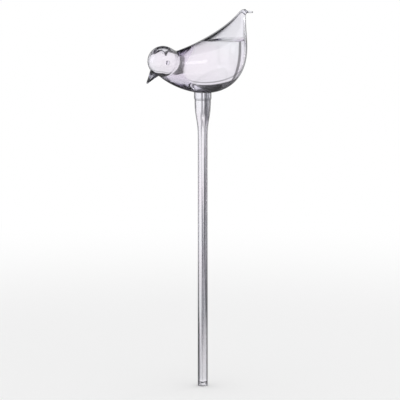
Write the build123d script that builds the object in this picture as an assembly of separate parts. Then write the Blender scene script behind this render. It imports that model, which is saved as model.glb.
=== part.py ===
from build123d import *
from math import comb, cos, radians, sin
import os

# Watering globe: a blown glass bird on a hollow stem, filled with water.
# Millimetres, +Z up. The origin is the centre of the stem's open lower end.
# The bird looks towards -X, and both its sides are alike.

# Stem
STEM_LENGTH = 206.0
STEM_DIAMETER = 7.0
STEM_WALL = 1.2
STEM_LIP_RADIUS = 0.5
FLARE_LENGTH = 27.0
FLARE_DIAMETER = 11.6

# Collar, the ring of glass that welds the stem to the bird
COLLAR_HEIGHT = 4.0
COLLAR_DIAMETER = 12.4
COLLAR_ROUNDING = 1.0

# Head, placed by its centre's distance ahead of the stem and its height above the bird's foot
HEAD_DIAMETER = 21.8
HEAD_AHEAD = 31.4
HEAD_RISE = 24.8
NECK_BLEND = 6.0

# Side outline of the body: a back curve and a belly curve, each with six handles.
# The first two handles of each are measured from the head's centre.
NAPE_BACK = 1.4
NAPE_UP = 5.4
NAPE_LEAD_BACK = 9.4
NAPE_LEAD_UP = 5.2
CHIN_AHEAD = 4.6
CHIN_DOWN = 7.3
CHIN_LEAD_AHEAD = 10.6
CHIN_LEAD_DOWN = 8.8
# The other handles are measured from the stem's axis and from the bird's foot.
SHOULDER_AHEAD = 40.5
SHOULDER_RISE = 29.0
LOIN_BEHIND = 39.0
LOIN_RISE = 37.5
CROWN_BEHIND = 23.5
CROWN_RISE = 63.0
KEEL_BEHIND = 29.0
KEEL_DROP = 35.6
RUMP_BEHIND = 38.5
RUMP_RISE = 21.4
HEEL_BEHIND = 31.2
HEEL_RISE = 28.0
TAIL_BEHIND = 34.4
TAIL_RISE = 58.2

# Plan outline of the body: half widths at the same six handles
CHIN_HALF_WIDTH = 6.0
THROAT_HALF_WIDTH = 6.0
BREAST_HALF_WIDTH = 26.5
RUMP_HALF_WIDTH = 31.5
HEEL_HALF_WIDTH = 4.6
TIP_HALF_WIDTH = 1.1

# Glass wall of the bird, the sections that shape it and the share of the curves that each skin follows
BULB_WALL = 1.2
SECTION_COUNT = 14
OUTER_END = 0.975
INNER_END = 0.93

# Beak
BEAK_DROP_ANGLE = 50.0
BEAK_LENGTH = 8.8
BEAK_BASE_DIAMETER = 6.8
BEAK_MIDDLE_DIAMETER = 3.4
BEAK_TIP_DIAMETER = 1.4

# Eyes
EYE_DIAMETER = 3.2
EYE_FORWARD_ANGLE = 8.0

# Tail tip, the drawn point where the glass was sealed
TAIL_TIP_LENGTH = 6.6
TAIL_TIP_WAIST = 1.6
TAIL_TIP_END = 1.1
TAIL_TIP_DROP_ANGLE = 28.0

# Water, and the air that is caught above it under the top of the head
WATER_RISE = 36.5
HEAD_AIR_DEPTH = 2.0
WATER_GAP = 0.06
WATER_SETBACK = 2.0

# Values that follow from the sizes above
ACROSS = Vector(0, 1, 0)
STEM_RADIUS = STEM_DIAMETER / 2
FLARE_RADIUS = FLARE_DIAMETER / 2
MOUTH_RADIUS = FLARE_RADIUS - STEM_WALL
FLARE_Z = STEM_LENGTH - FLARE_LENGTH
FOOT_Z = STEM_LENGTH + COLLAR_HEIGHT
HEAD_RADIUS = HEAD_DIAMETER / 2
HEAD_CENTRE = Vector(-HEAD_AHEAD, 0, FOOT_Z + HEAD_RISE)


def from_head(back, up):
    """Point of the side outline, measured from the head's centre."""
    return HEAD_CENTRE + Vector(back, 0, up)


def from_foot(behind, rise):
    """Point of the side outline, measured from the stem's axis and the bird's foot."""
    return Vector(behind, 0, FOOT_Z + rise)


BACK = Bezier(
    from_head(NAPE_BACK, NAPE_UP),
    from_head(NAPE_LEAD_BACK, NAPE_LEAD_UP),
    from_foot(-SHOULDER_AHEAD, SHOULDER_RISE),
    from_foot(LOIN_BEHIND, LOIN_RISE),
    from_foot(CROWN_BEHIND, CROWN_RISE),
    from_foot(TAIL_BEHIND, TAIL_RISE),
)
BELLY = Bezier(
    from_head(-CHIN_AHEAD, -CHIN_DOWN),
    from_head(-CHIN_LEAD_AHEAD, -CHIN_LEAD_DOWN),
    from_foot(KEEL_BEHIND, -KEEL_DROP),
    from_foot(RUMP_BEHIND, RUMP_RISE),
    from_foot(HEEL_BEHIND, HEEL_RISE),
    from_foot(TAIL_BEHIND, TAIL_RISE),
)
HALF_WIDTHS = (
    CHIN_HALF_WIDTH,
    THROAT_HALF_WIDTH,
    BREAST_HALF_WIDTH,
    RUMP_HALF_WIDTH,
    HEEL_HALF_WIDTH,
    TIP_HALF_WIDTH,
)


def half_width(t):
    """Half width of the body at share t, blended from its handles as the side curves are."""
    order = len(HALF_WIDTHS) - 1
    shares = [comb(order, i) * t**i * (1 - t) ** (order - i) for i in range(order + 1)]
    return sum(share * width for share, width in zip(shares, HALF_WIDTHS))


def skin_normal(curve, t, chord):
    """Unit normal of a side curve at share t, on the side to which the chord points."""
    along = curve % t
    return (chord - along * chord.dot(along)).normalized()


def body_section(t, inset):
    """Ellipse between back and belly at share t, drawn in from the glass surface by inset."""
    chord = BACK @ t - BELLY @ t
    top = BACK @ t - skin_normal(BACK, t, chord) * inset
    bottom = BELLY @ t + skin_normal(BELLY, t, chord) * inset
    span = top - bottom
    plane = Plane((top + bottom) / 2, x_dir=span, z_dir=ACROSS.cross(span))
    return plane * Ellipse(span.length / 2, half_width(t) - inset)


def body_and_head(inset, end):
    """Body with tail, and head, as two crossing solids drawn in from the glass surface by inset."""
    stations = [end * i / (SECTION_COUNT - 1) for i in range(SECTION_COUNT)]
    body = loft([body_section(t, inset) for t in stations])
    head = Pos(HEAD_CENTRE) * Sphere(HEAD_RADIUS - inset)
    return body, head


def bird_outside():
    """Solid within the outer skin, with the crease of the neck blended."""
    body, head = body_and_head(0, OUTER_END)
    whole = body + head
    return fillet(new_edges(body, head, combined=whole), NECK_BLEND)


def bird_inside(inset):
    """Solid of the space within the bird, drawn in from the glass surface by inset."""
    body, head = body_and_head(inset, INNER_END)
    return body + head


def stem_outline(inset):
    """Upright edge of the stem from its tip to its flared top, drawn in by inset."""
    tip = Vector(STEM_RADIUS - inset, 0, 0)
    start = Vector(STEM_RADIUS - inset, 0, FLARE_Z)
    top = Vector(FLARE_RADIUS - inset, 0, STEM_LENGTH)
    lead = Vector(0, 0, FLARE_LENGTH / 2)
    return Line(tip, start) + Bezier(start, start + lead, top - lead, top)


def stem_core(inset):
    """Solid of revolution within the stem's outline, drawn in by inset."""
    edge = stem_outline(inset)
    rest = Polyline(edge @ 1, (0, 0, STEM_LENGTH), (0, 0, 0), edge @ 0)
    return revolve(make_face(edge + rest), Axis.Z)


def stem_passage(radius):
    """Round passage from the stem's top up through the collar and the wall of the bird."""
    reach = COLLAR_HEIGHT + FLARE_RADIUS
    return Pos(0, 0, STEM_LENGTH) * Cylinder(radius, reach, align=(Align.CENTER, Align.CENTER, Align.MIN))


def stem_tube():
    """Glass tube with its flare and a fire-polished lip."""
    tube = stem_core(0) - stem_core(STEM_WALL)
    lip = tube.edges().filter_by(GeomType.CIRCLE).group_by(Axis.Z)[0]
    return fillet(lip, STEM_LIP_RADIUS)


def stem_collar(outside):
    """Ring between the stem's flared top and the bird's belly."""
    ring = stem_passage(COLLAR_DIAMETER / 2)
    ring = fillet(ring.edges().filter_by(GeomType.CIRCLE).group_by(Axis.Z)[0], COLLAR_ROUNDING)
    return ring - outside - stem_passage(MOUTH_RADIUS)


def beak(outside):
    """Drawn glass point with a rounded end, fused to the front of the head."""
    base, middle, end = BEAK_BASE_DIAMETER / 2, BEAK_MIDDLE_DIAMETER / 2, BEAK_TIP_DIAMETER / 2
    seat, tip = HEAD_RADIUS, HEAD_RADIUS + BEAK_LENGTH
    side = Bezier((base, seat), (middle, seat + BEAK_LENGTH / 2), (end, tip - end))
    point = RadiusArc(side @ 1, (0, tip), -end)
    rest = Polyline((0, tip), (0, 0), (base, 0), (base, seat))
    outline = make_face(side + point + rest)
    angle = radians(BEAK_DROP_ANGLE)
    frame = Plane(HEAD_CENTRE, x_dir=ACROSS, z_dir=(-cos(angle), 0, -sin(angle)))
    return frame * revolve(Plane.XZ * outline, Axis.Z) - outside


def eye(side):
    """Glass bead fused to one side of the head."""
    radius = EYE_DIAMETER / 2
    far_half = Rectangle(radius, 2 * radius, align=(Align.MAX, Align.CENTER))
    bead = Pos(0, HEAD_RADIUS) * (Circle(radius) - far_half) - Circle(HEAD_RADIUS)
    angle = radians(EYE_FORWARD_ANGLE)
    frame = Plane(HEAD_CENTRE, x_dir=(0, 0, 1), z_dir=(-sin(angle), side * cos(angle), 0))
    return frame * revolve(Plane.XZ * bead, Axis.Z)


def tail_tip():
    """Drawn point that tapers and droops from the end of the tail."""
    root = body_section(OUTER_END, 0)
    seat = Plane(root.faces()[0])
    drooped = Plane(seat.origin, x_dir=ACROSS, z_dir=seat.z_dir.rotate(Axis.Y, TAIL_TIP_DROP_ANGLE))
    waist = drooped.offset(TAIL_TIP_LENGTH / 3) * Circle(TAIL_TIP_WAIST / 2)
    end = drooped.offset(TAIL_TIP_LENGTH) * Circle(TAIL_TIP_END / 2)
    return loft([root, waist, end])


def head_air():
    """Block that clears the water from the top of the head."""
    level = HEAD_CENTRE + Vector(0, 0, HEAD_RADIUS - BULB_WALL - HEAD_AIR_DEPTH)
    upward = (Align.CENTER, Align.CENTER, Align.MIN)
    return Pos(level) * Box(HEAD_DIAMETER, HEAD_DIAMETER, HEAD_RADIUS, align=upward)


def water_fill():
    """Water in the bird up to its level, and down the stem nearly to the open end."""
    pool = bird_inside(BULB_WALL + WATER_GAP) - head_air()
    column = stem_core(STEM_WALL + WATER_GAP) + stem_passage(MOUTH_RADIUS - WATER_GAP)
    pool = split(pool, Plane.XY.offset(FOOT_Z + WATER_RISE), keep=Keep.BOTTOM)
    column = split(column, Plane.XY.offset(WATER_SETBACK), keep=Keep.TOP)
    return pool + column


def main():
    """Make each piece and write it to its own file."""
    outside = bird_outside()
    nodes = {
        "bird_bulb": outside - bird_inside(BULB_WALL) - stem_passage(MOUTH_RADIUS),
        "stem_tube": stem_tube(),
        "stem_collar": stem_collar(outside),
        "beak": beak(outside),
        "left_eye": eye(-1),
        "right_eye": eye(1),
        "tail_tip": tail_tip(),
        "water_fill": water_fill(),
    }
    os.makedirs("parts", exist_ok=True)
    for name, solid in nodes.items():
        export_step(solid, f"parts/{name}.step")


main()
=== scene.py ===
"""Looks of a watering globe: a blown glass bird on a hollow stem, with water inside.

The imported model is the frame. Each piece of glass and the water are modelled here as smooth meshes that stand
for the frame's nodes. Their sizes are given in millimetres, and every mesh is in metres.
"""

import bisect
import logging
import math
from collections.abc import Callable
from dataclasses import dataclass
from enum import Enum
from functools import cache, cached_property

import bmesh
import bpy
from mathutils import Matrix, Vector
from mathutils.bvhtree import BVHTree


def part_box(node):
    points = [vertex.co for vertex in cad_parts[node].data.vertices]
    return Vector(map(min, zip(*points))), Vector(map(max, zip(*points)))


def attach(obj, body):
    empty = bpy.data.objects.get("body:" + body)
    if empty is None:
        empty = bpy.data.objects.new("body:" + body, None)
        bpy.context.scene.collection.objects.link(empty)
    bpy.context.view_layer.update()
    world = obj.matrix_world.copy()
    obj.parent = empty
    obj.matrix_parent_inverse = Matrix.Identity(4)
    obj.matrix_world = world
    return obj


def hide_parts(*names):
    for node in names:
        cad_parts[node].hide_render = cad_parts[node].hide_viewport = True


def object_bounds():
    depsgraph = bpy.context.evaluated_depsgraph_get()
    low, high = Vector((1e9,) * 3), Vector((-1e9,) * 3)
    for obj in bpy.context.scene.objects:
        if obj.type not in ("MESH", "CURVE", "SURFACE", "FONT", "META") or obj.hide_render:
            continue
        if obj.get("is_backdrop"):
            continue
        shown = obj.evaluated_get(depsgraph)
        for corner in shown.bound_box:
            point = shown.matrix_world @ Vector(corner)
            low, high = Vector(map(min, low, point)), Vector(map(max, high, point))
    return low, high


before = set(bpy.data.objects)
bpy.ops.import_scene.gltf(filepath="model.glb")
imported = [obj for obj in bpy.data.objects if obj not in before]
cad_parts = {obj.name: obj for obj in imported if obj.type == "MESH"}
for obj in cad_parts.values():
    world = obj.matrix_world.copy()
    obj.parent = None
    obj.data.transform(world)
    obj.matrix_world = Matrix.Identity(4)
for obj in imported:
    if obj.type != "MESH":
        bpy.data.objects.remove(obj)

BODY = "root"
MM = 0.001
TOUCH = 1e-8
ACROSS = Vector((0.0, 1.0, 0.0))
ONWARD = Vector((1.0, 0.0, 0.0))
UP = Vector((0.0, 0.0, 1.0))
SHARP_ANGLE = math.radians(50.0)

log = logging.getLogger("watering_globe")

Pair = tuple[float, float]
Triple = tuple[float, float, float]
Colour = tuple[float, float, float, float]
Steps = tuple[int, int]
Outline = list[Pair]
Place = Callable[[float, float], Vector]
Outlet = tuple[bpy.types.Node, str]
Wire = tuple[bpy.types.Node, str, bpy.types.Node, str | int]


class Side(Enum):
    """Side of the bird, as the sign of its direction across."""

    LEFT = -1.0
    RIGHT = 1.0


class Slot(Enum):
    """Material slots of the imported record."""

    GLASS = "clear_glass"
    WATER = "water"


class Working(Enum):
    """How a piece of glass was worked, as the share that X, Y and Z have in its swells, in its streaks of tint
    and painted shade, and in its painted rim shade.
    """

    BLOWN = (1.0, 1.0, 1.0)
    DRAWN = (1.0, 1.0, 0.012)


class Tooling(Enum):
    """What one solid does to another."""

    CUT = "DIFFERENCE"
    JOIN = "UNION"


class Socket(Enum):
    """Types of the sockets of a node group."""

    COLOUR = "NodeSocketColor"
    VALUE = "NodeSocketFloat"
    VECTOR = "NodeSocketVector"


def mix_of(handles: tuple, share: float) -> float | Vector:
    """Blend of handles along a Bezier curve.

    Args:
        handles: numbers or vectors that pull the curve.
        share: place along the curve, from 0 to 1.

    Returns:
        The blended number or vector.
    """
    order = len(handles) - 1
    parts = [
        handle * (math.comb(order, i) * share**i * (1.0 - share) ** (order - i))
        for i, handle in enumerate(handles)
    ]
    return sum(parts[1:], parts[0])


@dataclass(frozen=True)
class Curve:
    """Bezier curve whose shares are counted by its length."""

    handles: tuple
    spans: int = 80

    def speed(self, place: float) -> Vector:
        """Change of the point with its place between the handles.

        Args:
            place: place between the handles, from 0 to 1.

        Returns:
            The change, in the direction of the curve.
        """
        order = len(self.handles) - 1
        steps = tuple((after - before) * order for before, after in zip(self.handles, self.handles[1:]))
        return mix_of(steps, place)

    @cached_property
    def lengths(self) -> list[float]:
        """Length of the curve up to the end of each span, by Simpson's rule.

        Returns:
            The lengths, from 0 to that of the whole curve.
        """
        total = [0.0]
        for i in range(self.spans):
            ends = self.speed(i / self.spans).length + self.speed((i + 1) / self.spans).length
            middle = self.speed((i + 0.5) / self.spans).length
            total.append(total[-1] + (ends + 4.0 * middle) / (6.0 * self.spans))
        return total

    @cache
    def place(self, share: float) -> float:
        """Place between the handles that lies at a share of the length.

        Args:
            share: share of the length, from 0 to 1.

        Returns:
            The place, from 0 to 1, on a smooth curve through the ends of the spans.
        """
        target = share * self.lengths[-1]
        i = min(max(bisect.bisect_right(self.lengths, target) - 1, 0), self.spans - 1)
        step = self.lengths[i + 1] - self.lengths[i]
        part = (target - self.lengths[i]) / step
        first, last = i / self.spans, (i + 1) / self.spans
        leave, arrive = step / self.speed(first).length, step / self.speed(last).length
        return mix_of((first, first + leave / 3.0, last - arrive / 3.0, last), part)

    def point(self, share: float) -> Vector:
        """Point at a share of the length."""
        return mix_of(self.handles, self.place(share))

    def slope(self, share: float) -> Vector:
        """Unit tangent at a share of the length."""
        return self.speed(self.place(share)).normalized()


def soft_max(first: float, second: float, blend: float) -> float:
    """Greater of two numbers, with the corner between them rounded over the blend."""
    near = max(blend - abs(first - second), 0.0)
    return max(first, second) + near * near / (4.0 * blend)


def blow(bm: bmesh.types.BMesh, place: Place, around: int, along: int) -> list[bmesh.types.BMFace]:
    """Blow a sphere up into another closed skin.

    Args:
        bm: mesh that takes the skin.
        place: gives a point in millimetres from the share along the skin and the angle around it.
        around: faces around the skin.
        along: faces along the skin.

    Returns:
        The faces of the skin, which point outwards.
    """
    made = bmesh.ops.create_uvsphere(bm, u_segments=around, v_segments=along, radius=1.0)
    for vert in made["verts"]:
        share = round(math.acos(max(-1.0, min(1.0, vert.co.z))) / math.pi * along) / along
        angle = round(math.atan2(vert.co.y, vert.co.x) / math.tau * around) * math.tau / around
        vert.co = place(share, angle) * MM
    bm.normal_update()
    return list({face for vert in made["verts"] for face in vert.link_faces})


def turn(outline: Outline, steps: int) -> bmesh.types.BMesh:
    """Turn an outline about the Z axis, into a solid if its ends lie on the axis, and else into a ring.

    Args:
        outline: radius and height of each corner, in millimetres.
        steps: faces around the axis.

    Returns:
        A mesh whose faces point outwards.
    """
    bm = bmesh.new()
    verts = [bm.verts.new((radius * MM, 0.0, height * MM)) for radius, height in outline]
    solid = outline[0][0] == 0.0 and outline[-1][0] == 0.0
    edges = [bm.edges.new(pair) for pair in zip(verts, verts[1:] if solid else verts[1:] + verts[:1])]
    bmesh.ops.spin(
        bm, geom=verts + edges, cent=(0.0, 0.0, 0.0), axis=UP, angle=math.tau, steps=steps, use_merge=True
    )
    poles = [vert for vert in bm.verts if vert.co.xy.length < TOUCH]
    bmesh.ops.remove_doubles(bm, verts=poles, dist=TOUCH)
    bmesh.ops.recalc_face_normals(bm, faces=bm.faces)
    return bm


def arc(centre: Pair, radius: float, start: float, end: float, steps: int) -> Outline:
    """Radius and height of an arc's corners, from its start to its end in degrees."""
    angles = [math.radians(start + (end - start) * i / steps) for i in range(steps + 1)]
    return [(centre[0] + radius * math.cos(a), centre[1] + radius * math.sin(a)) for a in angles]


def link(name: str, bm: bmesh.types.BMesh) -> bpy.types.Object:
    """Make an object of a finished bmesh.

    Args:
        name: name of the object.
        bm: mesh, which is freed.

    Returns:
        The object, linked to the scene.
    """
    mesh = bpy.data.meshes.new(name)
    bm.to_mesh(mesh)
    bm.free()
    obj = bpy.data.objects.new(name, mesh)
    bpy.context.scene.collection.objects.link(obj)
    return obj


def fuse(obj: bpy.types.Object, tool: bpy.types.Object, tooling: Tooling) -> None:
    """Cut or join an object with another closed one, which is then removed.

    Args:
        obj: object that changes.
        tool: object that cuts it or is joined to it.
        tooling: whether it cuts or joins.
    """
    boolean = obj.modifiers.new("fuse", "BOOLEAN")
    boolean.object = tool
    boolean.operation = tooling.value
    boolean.solver = "EXACT"
    before = obj.data
    depsgraph = bpy.context.evaluated_depsgraph_get()
    obj.data = bpy.data.meshes.new_from_object(obj.evaluated_get(depsgraph))
    obj.modifiers.clear()
    bpy.data.meshes.remove(before)
    bpy.data.meshes.remove(tool.data)


def dress(obj: bpy.types.Object, node: str, material: bpy.types.Material) -> None:
    """Smooth a piece, give it its finish and let it stand for its node.

    Args:
        obj: the finished piece.
        node: node of the frame that it stands for.
        material: its finish.
    """
    obj.data.shade_smooth()
    obj.data.set_sharp_from_angle(angle=SHARP_ANGLE)
    obj.data.materials.clear()
    obj.data.materials.append(material)
    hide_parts(node)
    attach(obj, BODY)
    log.info("%s stands for %s with %d faces", obj.name, node, len(obj.data.polygons))


def add(
    tree: bpy.types.NodeTree, kind: str, values: dict | None = None, **settings: object
) -> bpy.types.Node:
    """Add a node to a tree.

    Args:
        tree: tree that takes the node.
        kind: type of the node, without the word ShaderNode before it.
        values: values of its inputs, by their name or number.
        settings: its other settings, such as its operation.

    Returns:
        The node.
    """
    node = tree.nodes.new(f"ShaderNode{kind}")
    for name, setting in settings.items():
        setattr(node, name, setting)
    for name, value in (values or {}).items():
        node.inputs[name].default_value = value
    return node


def wire(tree: bpy.types.NodeTree, *wires: Wire) -> None:
    """Link nodes of a tree, each by its output to another's input."""
    for source, outlet, target, inlet in wires:
        tree.links.new(source.outputs[outlet], target.inputs[inlet])


def start_group(name: str, inputs: dict[str, Socket], outputs: dict[str, Socket]) -> tuple:
    """Start a shader node group.

    Args:
        name: name of the group.
        inputs: type of each input, by its name.
        outputs: type of each output, by its name.

    Returns:
        The group's tree, the node that brings its inputs in, and the node that takes its outputs.
    """
    tree = bpy.data.node_groups.new(name, "ShaderNodeTree")
    for way, sockets in (("INPUT", inputs), ("OUTPUT", outputs)):
        for label, socket in sockets.items():
            tree.interface.new_socket(label, in_out=way, socket_type=socket.value)
    return tree, tree.nodes.new("NodeGroupInput"), tree.nodes.new("NodeGroupOutput")


@dataclass(frozen=True)
class Ring:
    """One section of the body: an ellipse that stands between the belly and the back."""

    centre: Vector
    up: Vector
    half_height: float
    half_width: float

    @property
    def onward(self) -> Vector:
        """Direction through the section, towards the tail."""
        return ACROSS.cross(self.up)

    def direction(self, angle: float) -> Vector:
        """Direction from the centre at an angle from the back."""
        return self.up * math.cos(angle) + ACROSS * math.sin(angle)

    def reach(self, angle: float) -> float:
        """Distance from the centre to the ellipse at an angle from the back."""
        return 1.0 / math.hypot(math.cos(angle) / self.half_height, math.sin(angle) / self.half_width)


@dataclass(frozen=True)
class BirdForm:
    """Form of the bird, in millimetres. Handles are given as distance behind and rise."""

    foot: float
    head_radius: float = 10.9
    head_place: Pair = (-31.4, 24.8)
    back_from_head: tuple = ((1.4, 5.4), (9.4, 5.2))
    back_from_foot: tuple = ((-40.5, 29.0), (39.0, 37.5), (23.5, 63.0), (34.4, 58.2))
    belly_from_head: tuple = ((-4.6, -7.3), (-10.6, -8.8))
    belly_from_foot: tuple = ((29.0, -35.6), (38.5, 21.4), (31.2, 28.0), (34.4, 58.2))
    half_widths: tuple = (6.0, 6.0, 26.5, 31.5, 4.6, 1.1)
    nape_blend: float = 5.0
    throat_blend: float = 0.7
    tail_middle: float = 20.0
    neck_back: float = 0.21
    neck_belly: float = 0.13
    core_share: float = 0.1
    head_share: float = 0.42
    end_share: float = 0.04
    seam_lap: float = 1.01
    bare_steps: Steps = (220, 288)
    aims: int = 24
    nudge: float = 0.01

    @cached_property
    def head(self) -> Vector:
        """Centre of the head."""
        return self.from_foot(self.head_place)

    def from_foot(self, handle: Pair) -> Vector:
        """Point measured from the stem's axis and the bird's foot."""
        return Vector((handle[0], 0.0, self.foot + handle[1]))

    def from_head(self, handle: Pair) -> Vector:
        """Point measured from the head's centre."""
        return self.head + Vector((handle[0], 0.0, handle[1]))

    def curve(self, from_head: tuple, from_foot: tuple) -> Curve:
        """Curve along the body, from the head to the tail.

        Args:
            from_head: handles measured from the head's centre.
            from_foot: handles measured from the stem's axis and the bird's foot.

        Returns:
            The curve.
        """
        points = [self.from_head(handle) for handle in from_head]
        points += [self.from_foot(handle) for handle in from_foot]
        return Curve(tuple(point.freeze() for point in points))

    @cached_property
    def back(self) -> Curve:
        """Curve of the back."""
        return self.curve(self.back_from_head, self.back_from_foot)

    @cached_property
    def belly(self) -> Curve:
        """Curve of the belly."""
        return self.curve(self.belly_from_head, self.belly_from_foot)

    @cache
    def ring(self, share: float, inset: float) -> Ring:
        """Section of the body.

        Args:
            share: place along the back and the belly, from 0 to 1.
            inset: distance in from the outer skin.

        Returns:
            The section there.
        """
        chord = self.back.point(share) - self.belly.point(share)
        ends = []
        for curve, sign in ((self.back, -1.0), (self.belly, 1.0)):
            along = curve.slope(share)
            normal = (chord - along * chord.dot(along)).normalized()
            ends.append(curve.point(share) + normal * (sign * inset))
        span = ends[0] - ends[1]
        width = mix_of(self.half_widths, share) - inset
        return Ring((ends[0] + ends[1]) / 2.0, span.normalized(), span.length / 2.0, width)

    def on_body(self, share: float, angle: float, inset: float) -> Vector:
        """Point of the body's skin at a share along it, an angle from the back and an inset."""
        ring = self.ring(share, inset)
        return ring.centre + ring.direction(angle) * ring.reach(angle)

    def tail_end(self, share: float, angle: float, inset: float, end: float) -> Vector:
        """Point of the rounded cap that closes the tail.

        Args:
            share: place on the cap, from its rim at 0 to its middle at 1.
            angle: angle around the cap, from the back.
            inset: distance in from the outer skin.
            end: share of the body's curves at which the cap starts.

        Returns:
            The point.
        """
        last = self.ring(end, inset)
        turned = share * math.pi / 2.0
        rim = last.direction(angle) * (last.reach(angle) * math.cos(turned))
        return last.centre + rim + last.onward * (last.half_width * math.sin(turned))

    def bare_body(self, inset: float, end: float) -> BVHTree:
        """Skin of the body without the head, for rays from inside it.

        Args:
            inset: distance in from the outer skin.
            end: share of the body's curves at which the skin closes.

        Returns:
            The skin as a tree, in metres.
        """
        chest = self.ring(0.0, inset).centre

        def place(share: float, angle: float) -> Vector:
            """Point of the skin.

            Args:
                share: place along the skin, from the middle of the chest at 0 to its end at 1.
                angle: angle around it, from the back.

            Returns:
                The point.
            """
            if share < self.end_share:
                return chest.lerp(self.on_body(0.0, angle, inset), share / self.end_share)
            return self.on_body((share - self.end_share) / (1.0 - self.end_share) * end, angle, inset)

        bm = bmesh.new()
        along, around = self.bare_steps
        bmesh.ops.create_grid(bm, x_segments=along, y_segments=around, size=1.0)
        for vert in bm.verts:
            vert.co = place((vert.co.x + 1.0) / 2.0, vert.co.y * math.pi * self.seam_lap) * MM
        tree = BVHTree.FromBMesh(bm)
        bm.free()
        return tree

    def skin(self, inset: float, end: float) -> Place:
        """Skin of the whole bird, from the face to the end of the tail.

        Rays from a core between head and breast reach the head and the neck, and sections shape the rest.

        Args:
            inset: distance in from the outer skin.
            end: share of the body's curves at which the skin closes.

        Returns:
            A function from the share along the skin and the angle around it to a point.
        """
        body = self.bare_body(inset, end)
        radius = self.head_radius - inset
        core = self.ring(self.core_share, 0.0).centre

        def neck(angle: float) -> float:
            """Share of the body's curves at which the neck ends."""
            to_belly = (1.0 - math.cos(angle)) / 2.0
            return self.neck_back + (self.neck_belly - self.neck_back) * to_belly

        def blend(angle: float) -> float:
            """Rounding of the crease between head and body."""
            to_back = (1.0 + math.cos(angle)) / 2.0
            return self.throat_blend + (self.nape_blend - self.throat_blend) * to_back**2

        @cache
        def aim(angle: float) -> Vector:
            """Direction from the core to the end of the neck."""
            return (self.on_body(neck(angle), angle, inset) - core).normalized()

        face = -sum((aim(math.tau * i / self.aims) for i in range(self.aims)), Vector()).normalized()
        rest = 1.0 - self.head_share - self.end_share

        def on_head(part: float, angle: float) -> Vector:
            """Point of the head and the neck.

            Args:
                part: place from the face at 0 to the end of the neck at 1.
                angle: angle around the skin, from the back.

            Returns:
                The point.
            """
            way = face.slerp(aim(angle), part)
            to_body = body.ray_cast(core * MM, way)[3] / MM
            ahead = way.dot(self.head - core)
            to_head = ahead + math.sqrt(ahead**2 + radius**2 - (self.head - core).length_squared)
            return core + way * soft_max(to_head, to_body, blend(angle))

        @cache
        def lead(angle: float) -> float:
            """Pace at which the body's rows start, so that they follow the neck's rows evenly.

            Args:
                angle: angle around the skin, from the back.

            Returns:
                The pace, which is 1 for even rows.
            """
            start, step = neck(angle), self.nudge
            before = (on_head(1.0, angle) - on_head(1.0 - step, angle)).length / self.head_share
            after = (self.on_body(start + step, angle, inset) - self.on_body(start, angle, inset)).length
            return before / (after * (end - start) / rest)

        def place(share: float, angle: float) -> Vector:
            """Point of the skin.

            Args:
                share: place along the skin, from the face at 0 to the end of the tail at 1.
                angle: angle around it, from the back.

            Returns:
                The point.
            """
            if share < self.head_share:
                return on_head(share / self.head_share, angle)
            if share > 1.0 - self.end_share:
                return self.tail_end((share - 1.0 + self.end_share) / self.end_share, angle, inset, end)
            part = (share - self.head_share) / rest
            eased = part * (lead(angle) + (1.0 - lead(angle)) * part)
            start = neck(angle)
            return self.on_body(start + (end - start) * eased, angle, inset)

        return place


@dataclass(frozen=True)
class GlassFinish:
    """Clear glass with a faint tint, slow swells in its surface, a trace of handling and painted rim shade; the
    drawn finishes add painted dark streaks.
    """

    name: str
    working: Working
    pale: Colour = (1.0, 0.998, 1.0, 1.0)
    deep: Colour = (0.985, 0.98, 0.99, 1.0)
    streaks: Pair = (0.3, 0.7)
    refraction: float = 1.48
    absorption: Colour = (0.60, 0.58, 0.78, 1.0)
    density: float = 90.0
    # Painted shade: a dark colour mixed into the glass where a face turns from the view, over the span given by
    # rim.
    painted_rim_shade: Colour = (0.008, 0.008, 0.01, 1.0)
    rim: Pair = (0.38, 0.74)
    swell_scale: float = 55.0
    swell_turn: float = 0.0
    swell_depth: float = 0.00004
    smear: float = 0.012


@dataclass(frozen=True)
class WaterFinish:
    """Clear water with a breath of rose and mint in it."""

    name: str = "water"
    pale: Colour = (0.97, 0.985, 0.98, 1.0)
    deep: Colour = (0.99, 0.945, 0.965, 1.0)
    streaks: Pair = (0.35, 0.65)
    refraction: float = 1.333
    swell_scale: float = 25.0
    swell_turn: float = 0.0
    swell_depth: float = 0.00001
    smear: float = 0.0


BLOWN_GLASS = GlassFinish("blown_glass", Working.BLOWN)
DRAWN_GLASS = GlassFinish(
    "drawn_glass",
    Working.DRAWN,
    # Painted shade: dark grey streaks along the stem stand in for the dark lines that the water-filled tube
    # shows by refraction.
    deep=(0.18, 0.18, 0.2, 1.0),
    streaks=(0.59, 0.66),
    # Painted shade along the stem's rims.
    painted_rim_shade=(0.01, 0.01, 0.012, 1.0),
    rim=(0.30, 0.72),
    swell_scale=320.0,
    swell_turn=54.0,
)
# Painted shade: near-black patches on the beak and the tail tip stand in for the dark that these thin glass
# points show by refraction.
DRAWN_POINT = GlassFinish(
    "drawn_point",
    Working.BLOWN,
    pale=(0.9, 0.9, 0.93, 1.0),
    deep=(0.03, 0.03, 0.035, 1.0),
    streaks=(0.46, 0.58),
    swell_scale=260.0,
)


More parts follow.
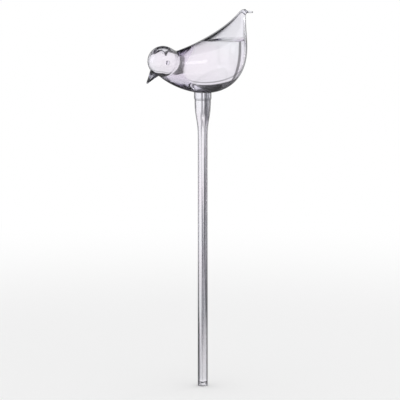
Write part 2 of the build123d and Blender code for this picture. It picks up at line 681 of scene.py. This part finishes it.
class Surface:
    """Node group that glass and water share: slow swells, a drifting tint that on the drawn finishes is painted
    dark streaks, and a faint smear.
    """

    DETAIL = 1.5

    @classmethod
    @cache
    def group(cls) -> bpy.types.NodeTree:
        """Build the node group, once.

        Returns:
            A shader node group with the outputs Tint, Roughness and Height.
        """
        tree, given, out = start_group(
            "liquid_surface",
            {
                "Vector": Socket.VECTOR,
                "Scale": Socket.VALUE,
                "Smear": Socket.VALUE,
                "Pale": Socket.COLOUR,
                "Deep": Socket.COLOUR,
                "Streak Start": Socket.VALUE,
                "Streak Full": Socket.VALUE,
            },
            {"Tint": Socket.COLOUR, "Roughness": Socket.VALUE, "Height": Socket.VALUE},
        )
        swell = add(tree, "TexNoise", {"Detail": cls.DETAIL})
        # Mixes the deep tone in by the swells: a drifting tint, and on the drawn finishes painted dark streaks.
        streak = add(tree, "MapRange", interpolation_type="SMOOTHSTEP")
        tint = add(tree, "Mix", data_type="RGBA")
        smear = add(tree, "Math", operation="MULTIPLY")
        wire(
            tree,
            (given, "Vector", swell, "Vector"),
            (given, "Scale", swell, "Scale"),
            (swell, "Fac", streak, "Value"),
            (given, "Streak Start", streak, "From Min"),
            (given, "Streak Full", streak, "From Max"),
            (streak, "Result", tint, "Factor"),
            (given, "Pale", tint, "A"),
            (given, "Deep", tint, "B"),
            (swell, "Fac", smear, 0),
            (given, "Smear", smear, 1),
            (tint, "Result", out, "Tint"),
            (smear, "Value", out, "Roughness"),
            (swell, "Fac", out, "Height"),
        )
        return tree


class Finisher:
    """Makes the materials of the glass and the water."""

    @staticmethod
    def _clear(finish: GlassFinish | WaterFinish, stretch: Triple) -> bpy.types.Material:
        """Clear material with the shared surface.

        Args:
            finish: values of the material.
            stretch: scale of the swells along X, Y and Z.

        Returns:
            A material whose nodes for surface, shader and output are named Surface, Shader and Output.
        """
        material = bpy.data.materials.new(finish.name)
        material.use_nodes = True
        tree = material.node_tree
        tree.nodes.clear()
        turned = (0.0, 0.0, math.radians(finish.swell_turn))
        coordinates = add(tree, "TexCoord")
        mapping = add(tree, "Mapping", {"Scale": stretch, "Rotation": turned})
        values = {
            "Scale": finish.swell_scale,
            "Smear": finish.smear,
            "Pale": finish.pale,
            "Deep": finish.deep,
            "Streak Start": finish.streaks[0],
            "Streak Full": finish.streaks[1],
        }
        surface = add(tree, "Group", values, node_tree=Surface.group(), name="Surface")
        bump = add(tree, "Bump", {"Distance": finish.swell_depth})
        values = {"Metallic": 0.0, "Transmission Weight": 1.0, "IOR": finish.refraction}
        shader = add(tree, "BsdfPrincipled", values, name="Shader")
        output = add(tree, "OutputMaterial", name="Output")
        wire(
            tree,
            (coordinates, "Object", mapping, "Vector"),
            (mapping, "Vector", surface, "Vector"),
            (surface, "Height", bump, "Height"),
            (surface, "Tint", shader, "Base Color"),
            (surface, "Roughness", shader, "Roughness"),
            (bump, "Normal", shader, "Normal"),
            (shader, "BSDF", output, "Surface"),
        )
        return material

    @classmethod
    def glass(cls, finish: GlassFinish) -> bpy.types.Material:
        """Glass that takes up a little light on the way through, with painted shade that darkens its colour
        along its rims.

        A rim is where a face turns from the view. The view along a drawn tube is left out, so that the tube
        doesn't darken all over when it is seen from above.

        Args:
            finish: values of the glass.

        Returns:
            The material.
        """
        material = cls._clear(finish, finish.working.value)
        tree = material.node_tree
        surface, shader, output = (tree.nodes[name] for name in ("Surface", "Shader", "Output"))
        geometry = add(tree, "NewGeometry")
        across = add(tree, "VectorMath", {1: finish.working.value}, operation="MULTIPLY")
        view = add(tree, "VectorMath", operation="NORMALIZE")
        facing = add(tree, "VectorMath", operation="DOT_PRODUCT")
        either_side = add(tree, "Math", operation="ABSOLUTE")
        # Painted shade: the more a face turns from the view, the more of the painted rim colour is mixed into
        # the tint.
        ends = {"From Min": 1.0 - finish.rim[0], "From Max": 1.0 - finish.rim[1]}
        rim = add(tree, "MapRange", ends, interpolation_type="SMOOTHSTEP")
        tint = add(tree, "Mix", {"B": finish.painted_rim_shade}, data_type="RGBA")
        body = add(tree, "VolumeAbsorption", {"Color": finish.absorption, "Density": finish.density})
        wire(
            tree,
            (geometry, "Incoming", across, 0),
            (across, "Vector", view, 0),
            (view, "Vector", facing, 0),
            (geometry, "Normal", facing, 1),
            (facing, "Value", either_side, 0),
            (either_side, "Value", rim, "Value"),
            (rim, "Result", tint, "Factor"),
            (surface, "Tint", tint, "A"),
            (tint, "Result", shader, "Base Color"),
            (body, "Volume", output, "Volume"),
        )
        return material

    @classmethod
    def water(cls, finish: WaterFinish) -> bpy.types.Material:
        """Water, with no more than its surface."""
        return cls._clear(finish, Working.BLOWN.value)


@dataclass
class Bird:
    """The blown bird: its shell, beak, eyes and drawn tail tip."""

    form: BirdForm
    finish: bpy.types.Material
    point_finish: bpy.types.Material
    wall: float = 1.2
    outer_end: float = 0.975
    inner_end: float = 0.93
    around: int = 96
    along: int = 200
    passage_radius: float = 4.6
    passage_length: float = 13.8
    beak_drop: float = 50.0
    beak_length: float = 8.8
    beak_base: float = 3.4
    beak_middle: float = 1.7
    beak_tip: float = 0.7
    beak_rows: int = 20
    beak_end_rows: int = 8
    beak_steps: int = 48
    eye_radius: float = 1.6
    eye_forward: float = 8.0
    eye_depth: float = 0.5
    eye_steps: Steps = (40, 28)
    tip_length: float = 6.6
    tip_waist: float = 0.8
    tip_end: float = 0.55
    tip_droop: float = 28.0
    tip_root_share: float = 0.02
    tip_end_share: float = 0.06
    tip_steps: Steps = (32, 100)

    def build(self) -> None:
        """Build and dress every piece of the bird."""
        dress(self.shell(), "bird_bulb", self.finish)
        dress(self.beak(), "beak", self.point_finish)
        for side in Side:
            dress(self.eye(side), f"{side.name.lower()}_eye", self.finish)
        dress(self.tail_tip(), "tail_tip", self.point_finish)

    def shell(self) -> bpy.types.Object:
        """Hollow shell of head, body and tail, open to the stem.

        Returns:
            The shell.
        """
        bm = bmesh.new()
        blow(bm, self.form.skin(0.0, self.outer_end), self.around, self.along)
        hollow = blow(bm, self.form.skin(self.wall, self.inner_end), self.around, self.along)
        bmesh.ops.reverse_faces(bm, faces=hollow)
        shell = link("glass_bird", bm)
        fuse(shell, self.passage(), Tooling.CUT)
        return shell

    def passage(self) -> bpy.types.Object:
        """Round plug of the way from the stem into the bird.

        Returns:
            The plug.
        """
        bm = bmesh.new()
        bmesh.ops.create_cone(
            bm,
            cap_ends=True,
            segments=self.around,
            radius1=self.passage_radius * MM,
            radius2=self.passage_radius * MM,
            depth=self.passage_length * MM,
            matrix=Matrix.Translation(UP * (self.form.foot * MM)),
        )
        return link("passage", bm)

    def on_head(self, direction: Vector) -> Matrix:
        """Matrix, in metres, that stands Z along a direction from the head's centre."""
        turned = direction.to_track_quat("Z", "Y").to_matrix().to_4x4()
        return Matrix.Translation(self.form.head * MM) @ turned

    def beak(self) -> bpy.types.Object:
        """Drawn point with a rounded end, let into the wall of the head.

        Returns:
            The beak.
        """
        seat = self.form.head_radius
        root = seat - self.wall / 2.0
        tip = seat + self.beak_length
        end = tip - self.beak_tip
        handles = (
            Vector((self.beak_base, seat)),
            Vector((self.beak_middle, seat + self.beak_length / 2.0)),
            Vector((self.beak_tip, end)),
        )
        outline = [(0.0, root), (self.beak_base, root)]
        outline += [tuple(mix_of(handles, i / self.beak_rows)) for i in range(self.beak_rows)]
        outline += arc((0.0, end), self.beak_tip, 0.0, 90.0, self.beak_end_rows)[:-1] + [(0.0, tip)]
        bm = turn(outline, self.beak_steps)
        angle = math.radians(self.beak_drop)
        ahead = Vector((-math.cos(angle), 0.0, -math.sin(angle)))
        bmesh.ops.transform(bm, matrix=self.on_head(ahead), verts=bm.verts)
        return link("glass_beak", bm)

    def eye(self, side: Side) -> bpy.types.Object:
        """Bead on one side of the head, let into its wall.

        Args:
            side: side of the bird.

        Returns:
            The bead.
        """
        bm = bmesh.new()
        around, along = self.eye_steps
        bmesh.ops.create_uvsphere(bm, u_segments=around, v_segments=along, radius=self.eye_radius * MM)
        seam = bmesh.ops.bisect_plane(
            bm,
            geom=list(bm.verts) + list(bm.edges) + list(bm.faces),
            plane_co=UP * (-self.eye_depth * MM),
            plane_no=-UP,
            clear_outer=True,
        )
        rim = [item for item in seam["geom_cut"] if isinstance(item, bmesh.types.BMEdge)]
        bmesh.ops.edgeloop_fill(bm, edges=rim)
        bmesh.ops.translate(bm, vec=UP * (self.form.head_radius * MM), verts=bm.verts)
        angle = math.radians(self.eye_forward)
        outward = Vector((-math.sin(angle), side.value * math.cos(angle), 0.0))
        bmesh.ops.transform(bm, matrix=self.on_head(outward), verts=bm.verts)
        bmesh.ops.recalc_face_normals(bm, faces=bm.faces)
        return link(f"glass_{side.name.lower()}_eye", bm)

    def tail_tip(self) -> bpy.types.Object:
        """Drawn point that tapers and droops from the end of the tail.

        Returns:
            The tip.
        """
        last = self.form.ring(self.outer_end, 0.0)
        droop = Matrix.Rotation(math.radians(self.tip_droop), 3, ACROSS)
        drooped = droop @ last.onward
        level = droop @ last.up
        waist, end = self.tip_length / 3.0, self.tip_length

        def place(share: float, angle: float) -> Vector:
            """Point of the tip's skin.

            Args:
                share: place along the tip, from its root at 0 to its end at 1.
                angle: angle around it.

            Returns:
                The point.
            """
            run = share * end
            if run < waist:
                part = run / waist
                ease = part * part * (3.0 - 2.0 * part)
                radius = last.reach(angle) * (1.0 - ease) + self.tip_waist * ease
                up = last.up.lerp(level, ease)
            else:
                part = (run - waist) / (end - waist)
                radius = self.tip_waist + (self.tip_end - self.tip_waist) * part
                up = level
            close = min(1.0, share / self.tip_root_share, (1.0 - share) / self.tip_end_share)
            radius *= math.sqrt(max(0.0, 1.0 - (1.0 - close) ** 2))
            return last.centre + drooped * run + (up * math.cos(angle) + ACROSS * math.sin(angle)) * radius

        bm = bmesh.new()
        blow(bm, place, *self.tip_steps)
        return link("glass_tail_tip", bm)


@dataclass
class Stem:
    """The hollow stem with its flared top, and the collar that welds it to the bird."""

    form: BirdForm
    finish: bpy.types.Material
    length: float
    radius: float = 3.5
    wall: float = 1.2
    lip: float = 0.5
    flare_length: float = 27.0
    flare_radius: float = 5.8
    collar_radius: float = 6.2
    collar_rounding: float = 1.0
    weld_gap: float = 0.02
    belly_end: float = 0.9
    belly_probe: float = 10.0
    steps: int = 96
    rows: int = 24
    lip_rows: int = 6
    collar_rows: int = 8

    def build(self) -> None:
        """Build and dress the stem and its collar."""
        dress(self.tube(), "stem_tube", self.finish)
        dress(self.collar(), "stem_collar", self.finish)

    def side(self, inset: float, low: float) -> Outline:
        """Upright edge of the stem, along its straight stretch and its flare.

        Args:
            inset: distance in from the outer edge.
            low: height of the edge's lower end.

        Returns:
            Radius and height of each corner.
        """
        start = self.length - self.flare_length
        lead = self.flare_length / 2.0
        narrow, wide = self.radius - inset, self.flare_radius - inset
        handles = (
            Vector((narrow, start)),
            Vector((narrow, start + lead)),
            Vector((wide, self.length - lead)),
            Vector((wide, self.length)),
        )
        straight = [(narrow, low + (start - low) * i / self.rows) for i in range(self.rows)]
        return straight + [tuple(mix_of(handles, i / self.rows)) for i in range(self.rows + 1)]

    def tube(self) -> bpy.types.Object:
        """Hollow tube with a fire-polished lip.

        Returns:
            The tube.
        """
        inner = (self.radius - self.wall + self.lip, self.lip)
        outer = (self.radius - self.lip, self.lip)
        lip = arc(inner, self.lip, 180.0, 270.0, self.lip_rows)[1:]
        lip += arc(outer, self.lip, 270.0, 360.0, self.lip_rows)[:-1]
        outline = self.side(0.0, self.lip) + self.side(self.wall, self.lip)[::-1] + lip
        return link("glass_stem", turn(outline, self.steps))

    def collar(self) -> bpy.types.Object:
        """Ring between the stem's top and the belly, whose upper face follows the belly.

        Returns:
            The collar.
        """
        low = self.length + self.weld_gap
        high = self.form.foot
        inner = self.flare_radius - self.wall
        foot = (self.collar_radius - self.collar_rounding, low + self.collar_rounding)
        outline = [(inner, low)]
        outline += arc(foot, self.collar_rounding, 270.0, 360.0, self.collar_rows)
        outline += [(self.collar_radius, high), ((self.collar_radius + inner) / 2.0, high), (inner, high)]
        bm = turn(outline, self.steps)
        belly = self.form.bare_body(0.0, self.belly_end)
        for vert in bm.verts:
            if vert.co.z > (high - self.weld_gap) * MM:
                hit = belly.ray_cast(vert.co - UP * (self.belly_probe * MM), UP)[0]
                vert.co.z = hit.z - self.weld_gap * MM
        return link("glass_collar", bm)


@dataclass(frozen=True)
class Edge:
    """Edge of the water, in millimetres: how high and how far in it climbs at the glass, and its ripples."""

    climb: float
    length: float
    ripple: float


@dataclass
class Water:
    """The water: level in the bird, with a meniscus, and a column down the stem."""

    form: BirdForm
    stem: Stem
    bird: Bird
    finish: bpy.types.Material
    rise: float = 36.5
    pocket_depth: float = 3.4
    tail_edge: Edge = Edge(climb=1.85, length=1.3, ripple=0.0)
    head_edge: Edge = Edge(climb=1.0, length=1.0, ripple=2.6)
    ripples: int = 5
    ripple_start: float = -140.0
    overlap: float = 0.3
    setback: float = 2.0
    margin: float = 3.0
    headroom: float = 40.0
    rim_share: float = 0.03
    clearance: float = 0.01
    nudge: float = 0.05
    least_slope: float = 0.001
    surface_steps: Steps = (90, 60)
    end_rows: int = 10

    def build(self) -> None:
        """Build and dress the water."""
        water = self.pool()
        fuse(water, self.column(), Tooling.JOIN)
        dress(water, "water_fill", self.finish)

    def pool(self) -> bpy.types.Object:
        """Water in the bird, up to its level, with a pocket of air in the head.

        Returns:
            The pool.
        """
        bird, form = self.bird, self.form
        bm = bmesh.new()
        blow(bm, form.skin(bird.wall - self.overlap, bird.inner_end), bird.around, bird.along)
        skin = BVHTree.FromBMesh(bm)
        level = Vector((form.tail_middle, 0.0, form.foot + self.rise))
        lift = form.head_radius - bird.wall - self.pocket_depth
        in_tail = self.air(skin, level, self.headroom, self.tail_edge)
        in_head = self.air(skin, form.head + UP * lift, form.head_radius, self.head_edge)
        pool = link("water", bm)
        for air in (in_tail, in_head):
            fuse(pool, air, Tooling.CUT)
        return pool

    def air(self, skin: BVHTree, inside: Vector, reach: float, edge: Edge) -> bpy.types.Object:
        """Air above the water, whose lower face is the water's surface and climbs where it meets the glass.

        Args:
            skin: the pool's skin.
            inside: a point of the surface, in millimetres.
            reach: greatest distance from that point to its rear end.
            edge: how its edge meets the glass.

        Returns:
            A closed block.
        """
        front = skin.ray_cast(inside * MM, -ONWARD)[0].x / MM
        rear = min(skin.ray_cast(inside * MM, ONWARD)[0].x / MM, inside.x + reach)

        def half_width(x: float) -> float:
            """Half of the surface's width."""
            within = min(max(x, front + self.clearance), rear - self.clearance)
            return skin.ray_cast(Vector((within, 0.0, inside.z)) * MM, ACROSS)[0].y / MM

        def surface(x: float, y: float) -> float:
            """Height of the surface.

            Args:
                x: distance behind the stem's axis.
                y: distance across.

            Returns:
                The height.
            """
            width = half_width(x)
            lean = (half_width(x + self.nudge) - half_width(x - self.nudge)) / (2.0 * self.nudge)
            gap = (width**2 - y**2) / (2.0 * math.hypot(width * lean, y) + self.least_slope)
            turned = math.atan2(y, x - inside.x) - math.radians(self.ripple_start)
            outwards = 2.0 * math.hypot(y, x - inside.x) / (rear - front)
            wave = edge.ripple * math.cos(self.ripples * turned) * outwards
            return inside.z + wave + edge.climb * math.exp(-max(gap, 0.0) / edge.length)

        bm = bmesh.new()
        rows, columns = self.surface_steps
        bmesh.ops.create_grid(bm, x_segments=rows, y_segments=columns, size=1.0)
        for vert in bm.verts:
            across, along = vert.co.y, vert.co.x
            run = (front + rear) / 2.0 + (rear - front) / 2.0 * math.sin(along * math.pi / 2.0)
            past = max(0.0, abs(along) - (1.0 - self.rim_share))
            x = run + math.copysign(self.margin, along) * past / self.rim_share
            y = math.sin(across * math.pi / 2.0) * (half_width(x) + self.margin)
            vert.co = Vector((x, y, surface(x, y))) * MM
        raised = bmesh.ops.extrude_face_region(bm, geom=list(bm.faces))["geom"]
        lid = [item for item in raised if isinstance(item, bmesh.types.BMVert)]
        for vert in lid:
            vert.co.z = (inside.z + self.headroom) * MM
        bmesh.ops.recalc_face_normals(bm, faces=bm.faces)
        return link("air", bm)

    def column(self) -> bpy.types.Object:
        """Water in the stem and its mouth, with a rounded lower end.

        Returns:
            The column.
        """
        inset = self.stem.wall - self.overlap
        mouth = self.stem.flare_radius - inset
        radius = self.stem.radius - inset
        low = self.setback + radius
        top = self.form.foot + 2.0 * self.bird.wall
        outline = [(0.0, self.setback)] + arc((0.0, low), radius, 270.0, 360.0, self.end_rows)[1:-1]
        outline += self.stem.side(inset, low)
        outline += [(mouth, top), (0.0, top)]
        return link("column", turn(outline, self.stem.steps))


@dataclass(frozen=True)
class Flag:
    """Dark flag in front of the room, by its bearing, half width, edges and softness in degrees."""

    bearing: float
    half_width: float
    low: float
    high: float
    soft: float
    shade: float

    @staticmethod
    @cache
    def group() -> bpy.types.NodeTree:
        """Build the node group that all flags share, once.

        Returns:
            A shader node group whose output Light is 1 beside the flag and its shade on it.
        """
        edges = ("Side Edge", "Side Full", "Low Edge", "Low Full", "High Full", "High Edge")
        inputs = {name: Socket.VALUE for name in edges + ("Shade", "Shown")}
        inputs |= {name: Socket.VECTOR for name in ("Direction", "Bearing")}
        tree, given, out = start_group("dark_flag", inputs, {"Light": Socket.VALUE})
        level = add(tree, "VectorMath", {1: (1.0, 1.0, 0.0)}, operation="MULTIPLY")
        around = add(tree, "VectorMath", operation="NORMALIZE")
        toward = add(tree, "VectorMath", operation="DOT_PRODUCT")
        height = add(tree, "SeparateXYZ")
        wire(
            tree,
            (given, "Direction", level, 0),
            (level, "Vector", around, 0),
            (around, "Vector", toward, 0),
            (given, "Bearing", toward, 1),
            (given, "Direction", height, "Vector"),
        )
        cover = (given, "Shown")
        for measure, first, last, ends in (
            ((toward, "Value"), "Side Edge", "Side Full", (0.0, 1.0)),
            ((height, "Z"), "Low Edge", "Low Full", (0.0, 1.0)),
            ((height, "Z"), "High Full", "High Edge", (1.0, 0.0)),
        ):
            limits = {"To Min": ends[0], "To Max": ends[1]}
            part = add(tree, "MapRange", limits, interpolation_type="SMOOTHSTEP")
            both = add(tree, "Math", operation="MULTIPLY")
            wire(
                tree,
                (*measure, part, "Value"),
                (given, first, part, "From Min"),
                (given, last, part, "From Max"),
                (*cover, both, 0),
                (part, "Result", both, 1),
            )
            cover = (both, "Value")
        light = add(tree, "Mix", {"A": 1.0})
        wire(
            tree,
            (*cover, light, "Factor"),
            (given, "Shade", light, "B"),
            (light, "Result", out, "Light"),
        )
        return tree

    def place(self, tree: bpy.types.NodeTree, direction: Outlet, shown: Outlet) -> Outlet:
        """Put the flag into a world.

        Args:
            tree: node tree of the world.
            direction: outlet with the direction of view.
            shown: outlet that is 1 where the flag shows, and 0 elsewhere.

        Returns:
            The outlet with the light that the flag leaves.
        """
        bearing, half = math.radians(self.bearing), self.soft / 2.0
        values = {
            "Bearing": (math.cos(bearing), math.sin(bearing), 0.0),
            "Side Edge": math.cos(math.radians(self.half_width + half)),
            "Side Full": math.cos(math.radians(self.half_width - half)),
            "Low Edge": math.sin(math.radians(self.low - half)),
            "Low Full": math.sin(math.radians(self.low + half)),
            "High Full": math.sin(math.radians(self.high - half)),
            "High Edge": math.sin(math.radians(self.high + half)),
            "Shade": self.shade,
        }
        node = add(tree, "Group", values, node_tree=self.group())
        wire(tree, (*direction, node, "Direction"), (*shown, node, "Shown"))
        return node, "Light"


@dataclass(frozen=True)
class Lamp:
    """Soft lamp that faces the object's middle: its place and size in metres, and its power in watts."""

    name: str
    place: Triple
    size: Pair
    power: float

    def hang(self) -> None:
        """Hang the lamp."""
        data = bpy.data.lights.new(self.name, "AREA")
        data.shape = "RECTANGLE"
        data.size, data.size_y = self.size
        data.energy = self.power
        lamp = bpy.data.objects.new(self.name, data)
        lamp.location = self.place
        low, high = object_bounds()
        lamp.rotation_euler = ((low + high) / 2.0 - Vector(self.place)).to_track_quat("-Z", "Y").to_euler()
        lamp.visible_camera = False
        bpy.context.scene.collection.objects.link(lamp)


@dataclass
class Studio:
    """Pale floor, soft lamps, pale surroundings and the camera."""

    azimuth: float = -27.0
    elevation: float = 8.5
    lens: float = 300.0
    image_width: int = 400
    scale: float = 0.71
    floor_radius: float = 0.8
    floor_steps: int = 96
    fade_start: float = 0.25
    fade_end: float = 0.75
    floor_colour: Colour = (0.90, 0.90, 0.90, 1.0)
    floor_dim: Colour = (0.2, 0.2, 0.2, 1.0)
    white: Colour = (1.0, 1.0, 1.0, 1.0)
    soft_light: float = 0.96
    bare_surfaces: float = 4.5
    ceiling_lean: float = 25.0
    ceiling: tuple[Pair, ...] = ((44.6, 1.0), (43.0, 0.012), (0.0, 0.03))
    flags: tuple[Flag, ...] = (
        Flag(bearing=92.0, half_width=3.4, low=-40.0, high=40.0, soft=2.4, shade=0.2),
        Flag(bearing=-23.0, half_width=6.2, low=-40.0, high=20.0, soft=2.4, shade=0.12),
        Flag(bearing=156.0, half_width=6.0, low=-40.0, high=40.0, soft=4.0, shade=0.2),
        Flag(bearing=-117.0, half_width=6.0, low=-40.0, high=40.0, soft=4.0, shade=0.2),
        Flag(bearing=63.0, half_width=46.0, low=15.6, high=17.6, soft=0.8, shade=0.4),
    )
    lamps: tuple[Lamp, ...] = (
        Lamp("key", place=(-0.55, -1.15, 0.95), size=(0.3, 0.35), power=0.45),
        Lamp("rim", place=(1.27, 0.29, 0.25), size=(0.15, 0.8), power=1.1),
    )
    bounces: int = 32
    mirror_bounces: int = 8

    def build(self) -> None:
        """Build the studio."""
        self.floor()
        self.surroundings()
        for lamp in self.lamps:
            lamp.hang()
        self.camera()
        self.view()

    def floor(self) -> None:
        """Round pale floor that fades into the surroundings."""
        bm = bmesh.new()
        bmesh.ops.create_circle(bm, cap_ends=True, segments=self.floor_steps, radius=self.floor_radius)
        floor = link("floor", bm)
        floor.data.materials.append(self.floor_material())
        floor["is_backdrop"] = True

    def floor_material(self) -> bpy.types.Material:
        """Pale matte floor that is dimmer in reflections and turns to plain white far from the object.

        Returns:
            The material.
        """
        material = bpy.data.materials.new("pale_floor")
        material.use_nodes = True
        tree = material.node_tree
        tree.nodes.clear()
        coordinates = add(tree, "TexCoord")
        distance = add(tree, "VectorMath", operation="LENGTH")
        ends = {"From Min": self.fade_start, "From Max": self.fade_end}
        fade = add(tree, "MapRange", ends, interpolation_type="SMOOTHSTEP")
        path = add(tree, "LightPath")
        mirrored = add(tree, "Math", {1: 1.0}, operation="MINIMUM")
        matte = add(tree, "BsdfDiffuse", {"Color": self.floor_colour})
        dim = add(tree, "BsdfDiffuse", {"Color": self.floor_dim})
        white = add(tree, "Emission", {"Color": self.white})
        near, whole = add(tree, "MixShader"), add(tree, "MixShader")
        output = add(tree, "OutputMaterial")
        wire(
            tree,
            (coordinates, "Object", distance, 0),
            (distance, "Value", fade, "Value"),
            (path, "Glossy Depth", mirrored, 0),
            (mirrored, "Value", near, 0),
            (matte, "BSDF", near, 1),
            (dim, "BSDF", near, 2),
            (fade, "Result", whole, 0),
            (near, "Shader", whole, 1),
            (white, "Emission", whole, 2),
            (whole, "Shader", output, "Surface"),
        )
        return material

    def surroundings(self) -> None:
        """White backdrop, soft light for matte surfaces, and a dark ceiling and flags for glass to show."""
        world = bpy.data.worlds.new("studio")
        bpy.context.scene.world = world
        world.use_nodes = True
        tree = world.node_tree
        tree.nodes.clear()
        backdrop = add(tree, "Background", {"Color": self.white})
        soft = add(tree, "Background", {"Color": self.white, "Strength": self.soft_light})
        room = add(tree, "Background", {"Color": self.white})
        path = add(tree, "LightPath")
        matte, direct = add(tree, "MixShader"), add(tree, "MixShader")
        output = add(tree, "OutputWorld")
        wire(
            tree,
            (*self.room_shade(tree), room, "Strength"),
            (path, "Is Diffuse Ray", matte, 0),
            (room, "Background", matte, 1),
            (soft, "Background", matte, 2),
            (path, "Is Camera Ray", direct, 0),
            (matte, "Shader", direct, 1),
            (backdrop, "Background", direct, 2),
            (direct, "Shader", output, "Surface"),
        )

    def behind(self) -> Vector:
        """Level direction away from the camera."""
        angle = math.radians(self.azimuth)
        return Vector((-math.sin(angle), math.cos(angle), 0.0))

    def room_shade(self, tree: bpy.types.NodeTree) -> Outlet:
        """Brightness of the room: white, with a round dark ceiling and, behind water, dark flags.

        Args:
            tree: node tree of the world.

        Returns:
            The outlet with the brightness.
        """
        direction = (add(tree, "TexCoord"), "Generated")
        lean = math.radians(self.ceiling_lean)
        middle = UP * math.cos(lean) + self.behind() * math.sin(lean)
        overhead = add(tree, "VectorMath", {1: middle}, operation="DOT_PRODUCT")
        ramp = add(tree, "ValToRGB")
        stops = ramp.color_ramp.elements
        while len(stops) < len(self.ceiling):
            stops.new(1.0)
        for stop, (angle, shade) in zip(stops, self.ceiling):
            stop.position = math.cos(math.radians(angle))
            stop.color = (shade, shade, shade, 1.0)
        path = add(tree, "LightPath")
        through_water = add(tree, "Math", {1: self.bare_surfaces}, operation="GREATER_THAN")
        wire(
            tree,
            (*direction, overhead, 0),
            (overhead, "Value", ramp, "Fac"),
            (path, "Transmission Depth", through_water, 0),
        )
        light = (ramp, "Color")
        for flag in self.flags:
            left = add(tree, "Math", operation="MULTIPLY")
            shaded = flag.place(tree, direction, (through_water, "Value"))
            wire(tree, (*light, left, 0), (*shaded, left, 1))
            light = (left, "Value")
        return light

    def camera(self) -> None:
        """Long lens that looks slightly down at the object, turned towards its head."""
        data = bpy.data.cameras.new("camera")
        data.lens = self.lens
        camera = bpy.data.objects.new("camera", data)
        low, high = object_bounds()
        tilt = math.radians(self.elevation)
        back = UP * math.sin(tilt) - self.behind() * math.cos(tilt)
        width = self.image_width * self.scale * MM
        distance = width * self.lens / data.sensor_width
        camera.location = (low + high) / 2.0 + back * distance
        camera.rotation_euler = back.to_track_quat("Z", "Y").to_euler()
        bpy.context.scene.collection.objects.link(camera)
        bpy.context.scene.camera = camera

    def view(self) -> None:
        """Plain view settings, and enough bounces for glass behind glass."""
        scene = bpy.context.scene
        scene.view_settings.view_transform = "Standard"
        scene.cycles.max_bounces = self.bounces
        scene.cycles.transmission_bounces = self.bounces
        scene.cycles.glossy_bounces = self.mirror_bounces


def main() -> None:
    """Build the globe and its studio."""
    logging.basicConfig(level=logging.INFO, format="%(name)s: %(message)s")
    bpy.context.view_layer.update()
    stem_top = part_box("stem_tube")[1].z / MM
    collar_height = 4.0
    form = BirdForm(foot=stem_top + collar_height)
    bird = Bird(form, Finisher.glass(BLOWN_GLASS), Finisher.glass(DRAWN_POINT))
    stem = Stem(form, Finisher.glass(DRAWN_GLASS), stem_top)
    water = Water(form, stem, bird, Finisher.water(WaterFinish()))
    for piece in (bird, stem, water, Studio()):
        piece.build()


if __name__ == "__main__":
    main()
